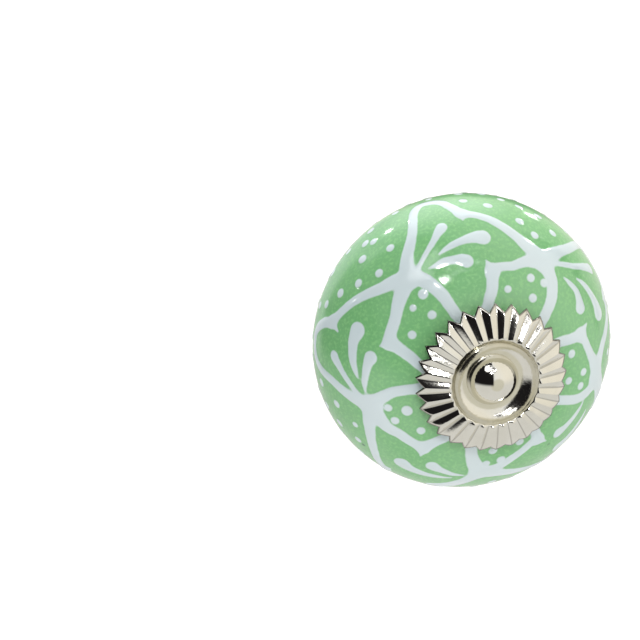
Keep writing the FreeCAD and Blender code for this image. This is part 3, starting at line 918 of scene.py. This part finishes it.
def thread_group():
    group, tree, given = new_group(
        "cut thread",
        {"Piece": "Object", "Pitch": "Float", "Cut": "Float", "Top": "Float", "End": "Float",
         "Core": "Float", "Finish": "Material"},
    )
    piece = tree.node("GeometryNodeObjectInfo", {}, {"Object": given["Piece"]})["Geometry"]
    place = tree.node("GeometryNodeInputPosition")[0]
    x, y, z = tree.parts(place)
    radius = (x * x + z * z).maths("SQRT")
    turn = z.maths("ARCTAN2", x) / math.tau
    phase = (y / given["Pitch"] + turn).maths("FRACT")
    flank = ((phase - 0.5).maths("ABSOLUTE") * 2.0).maths("SMOOTH_MAX", 0.14, 0.1)
    flank = flank.maths("SMOOTH_MIN", 0.88, 0.08)
    depth = flank * given["Cut"]
    start = y.step(given["Top"], given["Top"] + 1.2 * MM)
    edge = start * y.step(given["End"], given["End"] - 0.7 * MM)
    outer = radius.step(given["Core"], given["Core"] + 0.02 * MM)
    share = 1.0 - depth * edge * outer / (radius + 0.01 * MM)
    moved = tree.node("ShaderNodeCombineXYZ", {}, {0: x * share, 1: y, 2: z * share})[0]
    cut = tree.node("GeometryNodeSetPosition", {}, {"Geometry": piece, "Position": moved})[0]
    return finish_group(tree, group, cut, given["Finish"])


blank = turned("bolt_blank", bolt_outline(), 72, polished)
bolt = grow(
    "bolt",
    thread_group(),
    {
        "Piece": blank,
        "Pitch": PITCH * MM,
        "Cut": THREAD_CUT * MM,
        "Top": THREAD_TOP * MM,
        "End": (BOLT_END - 0.1) * MM,
        "Core": (THREAD - 0.03) * MM,
        "Finish": polished,
    },
)
bpy.data.objects.remove(blank)

# %% [markdown]
# ## Cup, washer and nut
#
# The cup is spun from sheet and flares toward the door. The washer gets rounded edges, and
# the nut keeps its construction form.
# %%
CUP, CUP_WALL, NECK, RIM, FOOT, CUP_HOLE = 7.0, 0.6, 6.2, 7.6, 1.2, 1.9


def cup_outline():
    top = CUP - 0.5
    width, depth = RIM - NECK, top - FOOT
    flare = (width**2 + depth**2) / (2 * width)
    centre = (NECK + flare, -top)
    sweep = math.degrees(math.asin(depth / flare))
    inner = flare + CUP_WALL
    ceiling = CUP - CUP_WALL
    low = math.degrees(math.asin(depth / inner))
    inner_foot = centre[0] - math.sqrt(inner**2 - depth**2)
    inner_top = centre[0] - math.sqrt(inner**2 - (top - ceiling) ** 2)
    return np.vstack(
        [
            [[RIM - 0.08, 0], [RIM, -0.08]],
            run((RIM, -0.1), (RIM, -FOOT + 0.06), 2),
            bend(centre, flare, 180 - sweep, 180, 24),
            bend((NECK - 0.5, -top), 0.5, 0, -90, 7),
            run((NECK - 0.5, -CUP), (CUP_HOLE, -CUP), 3),
            [[CUP_HOLE, -CUP], [CUP_HOLE, -ceiling]],
            run((CUP_HOLE + 0.3, -ceiling), (inner_top - 0.25, -ceiling), 3),
            [[inner_top - 0.07, -ceiling + 0.07]],
            bend(centre, inner, 180.5, 180 - low, 20),
            [[inner_foot, -FOOT], [inner_foot, -0.06], [inner_foot + 0.06, 0], [RIM - 0.08, 0]],
        ]
    )


cup = turned("cup", cup_outline(), 160, spun)
WASHER_FRONT, WASHER_BACK, WASHER_HOLE, WASHER = -6.4, -5.6, 1.9, 4.5
washer_corners = [
    (WASHER_HOLE, WASHER_BACK),
    (WASHER, WASHER_BACK),
    (WASHER, WASHER_FRONT),
    (WASHER_HOLE, WASHER_FRONT),
]
washer_outline = rounded(washer_corners, [0, 0.2, 0.08, 0])
washer = turned("washer", np.vstack([washer_outline, washer_outline[:1]]), 120, zinc)
nut = frame["nodes"]["cup_nut"]
nut.data.materials.clear()
nut.data.materials.append(zinc)

for piece, node, place in [
    (body, "ceramic_body", "glaze"),
    (rosette, "front_rosette", "pressed_metal"),
    (bolt, "knob_bolt", "turned_metal"),
    (cup, "rear_ferrule", "pressed_metal"),
    (washer, "cup_washer", "zinc_plate"),
]:
    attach(piece, "root")
    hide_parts(node)
print("pieces ride on the frame")

# %% [markdown]
# ## Surroundings
#
# A bright white studio. The metal also mirrors darker things: a wide unlit opening from straight
# ahead round to the left, a dark spot and a pillar at the right, a mottled window in front and
# above, and a dull field low in front. Directions and sizes are in degrees.
# %%
UNLIT, DULL = (0.012, 0.011, 0.012), (0.66, 0.64, 0.53)
COOL_WALL, WARM_WALL, LOW_WALL = (0.92, 0.94, 0.97), (0.98, 0.94, 0.85), (0.77, 0.765, 0.75)
WINDOW_BARS, WINDOW = (0.05, 0.05, 0.055), (4.0, 4.0, 4.15)
WINDOW_MIDDLE, BACK_WINDOW, BACKGROUND = (3.0, 3.0, 3.0), (2.2, 2.2, 2.2), (0.95, 0.95, 0.95)


def toward(azimuth, elevation):
    """Unit direction from the knob. Azimuth 0 is straight ahead of it, 90 is to the right."""
    a, e = math.radians(azimuth), math.radians(elevation)
    return (math.sin(a) * math.cos(e), -math.cos(a) * math.cos(e), math.sin(e))


def patch(tree, direction, azimuth, elevation, size, softness):
    """1 inside a round patch of the surroundings, 0 outside it. Sizes are half widths."""
    settings = {"operation": "DOT_PRODUCT"}
    values = {0: direction, 1: toward(azimuth, elevation)}
    facing = tree.node("ShaderNodeVectorMath", settings, values)["Value"]
    wide = math.cos(math.radians(size + softness))
    return facing.step(wide, math.cos(math.radians(max(size - softness, 0.5))))


world = bpy.data.worlds.new("studio")
scene.world = world
world.use_nodes = True
world.node_tree.nodes.clear()
sky = Tree(world.node_tree)
direction = sky.node("ShaderNodeTexCoord")["Generated"]
east, north, rise = sky.parts(direction)
azimuth = east.maths("ARCTAN2", north * -1.0) * math.degrees(1)
elevation = rise.maths("ARCSINE") * math.degrees(1)
low_side = azimuth.step(-148, -134) * elevation.step(34, 24)
high_side = azimuth.step(-128, -116) * elevation.step(88, 78)
unlit = low_side.maths("MAXIMUM", high_side) * azimuth.step(0, -7) * elevation.step(-24, -10)
behind = patch(sky, direction, 162, 7, 12, 5)
pillar = azimuth.step(95, 99) * azimuth.step(109, 104)
pillar = pillar * elevation.step(-14, -4) * elevation.step(74, 58)
unlit = unlit.maths("MAXIMUM", behind.maths("MAXIMUM", pillar) * 0.9)
mottle = sky.noise(direction, 12, 3).step(0.51, 0.57)
front = patch(sky, direction, 0, 50, 11, 4).maths("MAXIMUM", patch(sky, direction, -34, 56, 14, 5))
bright = patch(sky, direction, -40, 52, 9, 4)
low = elevation.step(6, -26)
tone = sky.blend(azimuth.step(-30, 60), COOL_WALL, WARM_WALL)
tone = sky.blend(low, tone, LOW_WALL)
tone = sky.blend(patch(sky, direction, 14, -16, 26, 5) * 0.8, tone, DULL)
tone = sky.blend(unlit, tone, UNLIT)
tone = sky.blend(front, tone, sky.blend(mottle, WINDOW_BARS, WINDOW))
tone = sky.blend(bright, tone, WINDOW_MIDDLE)
tone = sky.blend(patch(sky, direction, 178, 50, 17, 15), tone, BACK_WINDOW)
seen = sky.node("ShaderNodeLightPath")["Is Camera Ray"]
tone = sky.blend(seen, tone, BACKGROUND)
shine = sky.node("ShaderNodeBackground", {}, {"Color": tone, "Strength": 1.0})["Background"]
sky.node("ShaderNodeOutputWorld", {}, {"Surface": shine})
print("world:", len(world.node_tree.nodes), "nodes")

# %% [markdown]
# ## Lamps
#
# Each lamp has its azimuth, elevation, distance in metres, width in metres and power. The fill
# and the sun only brighten the knob, and aren't mirrored in it.
# %%
LAMPS = {
    "key": (-13, 37, 1.2, 0.14, 2.9),
    "fill": (-52, 30, 1.2, 0.5, 0.9),
    "back left": (-153, 38, 1.4, 0.08, 0.6),
    "back right": (140, 24, 1.4, 0.1, 0.6),
    "right": (109, 41, 1.4, 0.1, 0.6),
    "left": (-100, 19, 1.4, 0.1, 0.5),
}
SUN_FROM, SUN_STRENGTH, SUN_WIDTH = (-178, 52), 1.3, 14


def lamp(name, azimuth, elevation, distance, size, power):
    """Round soft light that faces the knob."""
    data = bpy.data.lights.new(name, "AREA")
    data.shape = "DISK"
    data.size = size
    data.energy = power
    made = bpy.data.objects.new(name, data)
    scene.collection.objects.link(made)
    way = np.array(toward(azimuth, elevation))
    made.location = way * distance + np.array((0, WIDEST_Y * MM, 0))
    made.rotation_mode = "QUATERNION"
    made.rotation_quaternion = Vector(way).to_track_quat("Z", "Y")
    return made


for name, values in LAMPS.items():
    lamp(name, *values).visible_glossy = name != "fill"
sun_data = bpy.data.lights.new("back light", "SUN")
sun_data.energy = SUN_STRENGTH
sun_data.angle = math.radians(SUN_WIDTH)
sun = bpy.data.objects.new("back light", sun_data)
scene.collection.objects.link(sun)
sun.rotation_mode = "QUATERNION"
sun.rotation_quaternion = Vector(toward(*SUN_FROM)).to_track_quat("Z", "Y")
sun.visible_glossy = False
print("lamps:", [*LAMPS, sun.name])

# %% [markdown]
# ## Floor and camera
#
# The floor lies well below the knob, which the photo shows on plain white. The camera stands
# where the photo's stood: its lens is the photo's focal length in pixels over its width.
# %%
FLOOR_REACH, FLOOR_LEVEL = 30, -0.25
FLOOR_NEAR_SHADED, FLOOR_FAR = (0.72, 0.72, 0.71), (0.97, 0.97, 0.97)
PHOTO_FOCAL_PIXELS, PHOTO_WIDTH_PIXELS, SENSOR = 1504, 640, 36.0
AIM = np.array((-0.01906, -0.019, 0.00408))
VIEW = np.array(toward(-10.31, 18.38))
VIEW_DISTANCE = 0.19548
corners = [(-1, -1), (1, -1), (1, 1), (-1, 1)]
floor_mesh = bpy.data.meshes.new("floor")
floor_mesh.from_pydata(
    [(x * FLOOR_REACH, y * FLOOR_REACH, FLOOR_LEVEL) for x, y in corners], [], [(0, 1, 2, 3)]
)
floor = bpy.data.objects.new("floor", floor_mesh)
scene.collection.objects.link(floor)
floor_material, floor_tree, floor_place = new_material("pale floor")
# The floor in front of the knob, towards the camera, is painted darker: painted shade
far = floor_tree.parts(floor_place)[1].step(-0.05, 0.2)
surface(
    floor_tree,
    {"Base Color": floor_tree.blend(far, FLOOR_NEAR_SHADED, FLOOR_FAR), "Roughness": 0.9},
)
floor_mesh.materials.append(floor_material)
floor.visible_glossy = False

camera_data = bpy.data.cameras.new("camera")
camera_data.sensor_width = SENSOR
camera_data.lens = PHOTO_FOCAL_PIXELS / PHOTO_WIDTH_PIXELS * SENSOR
camera_data.clip_start = 0.01
camera_data.clip_end = 100.0
camera = bpy.data.objects.new("camera", camera_data)
scene.collection.objects.link(camera)
scene.camera = camera
camera.location = AIM + VIEW * VIEW_DISTANCE
camera.rotation_mode = "QUATERNION"
camera.rotation_quaternion = Vector(VIEW).to_track_quat("Z", "Y")
scene.view_settings.view_transform = "Standard"
print("lens in millimetres:", round(camera_data.lens, 2))
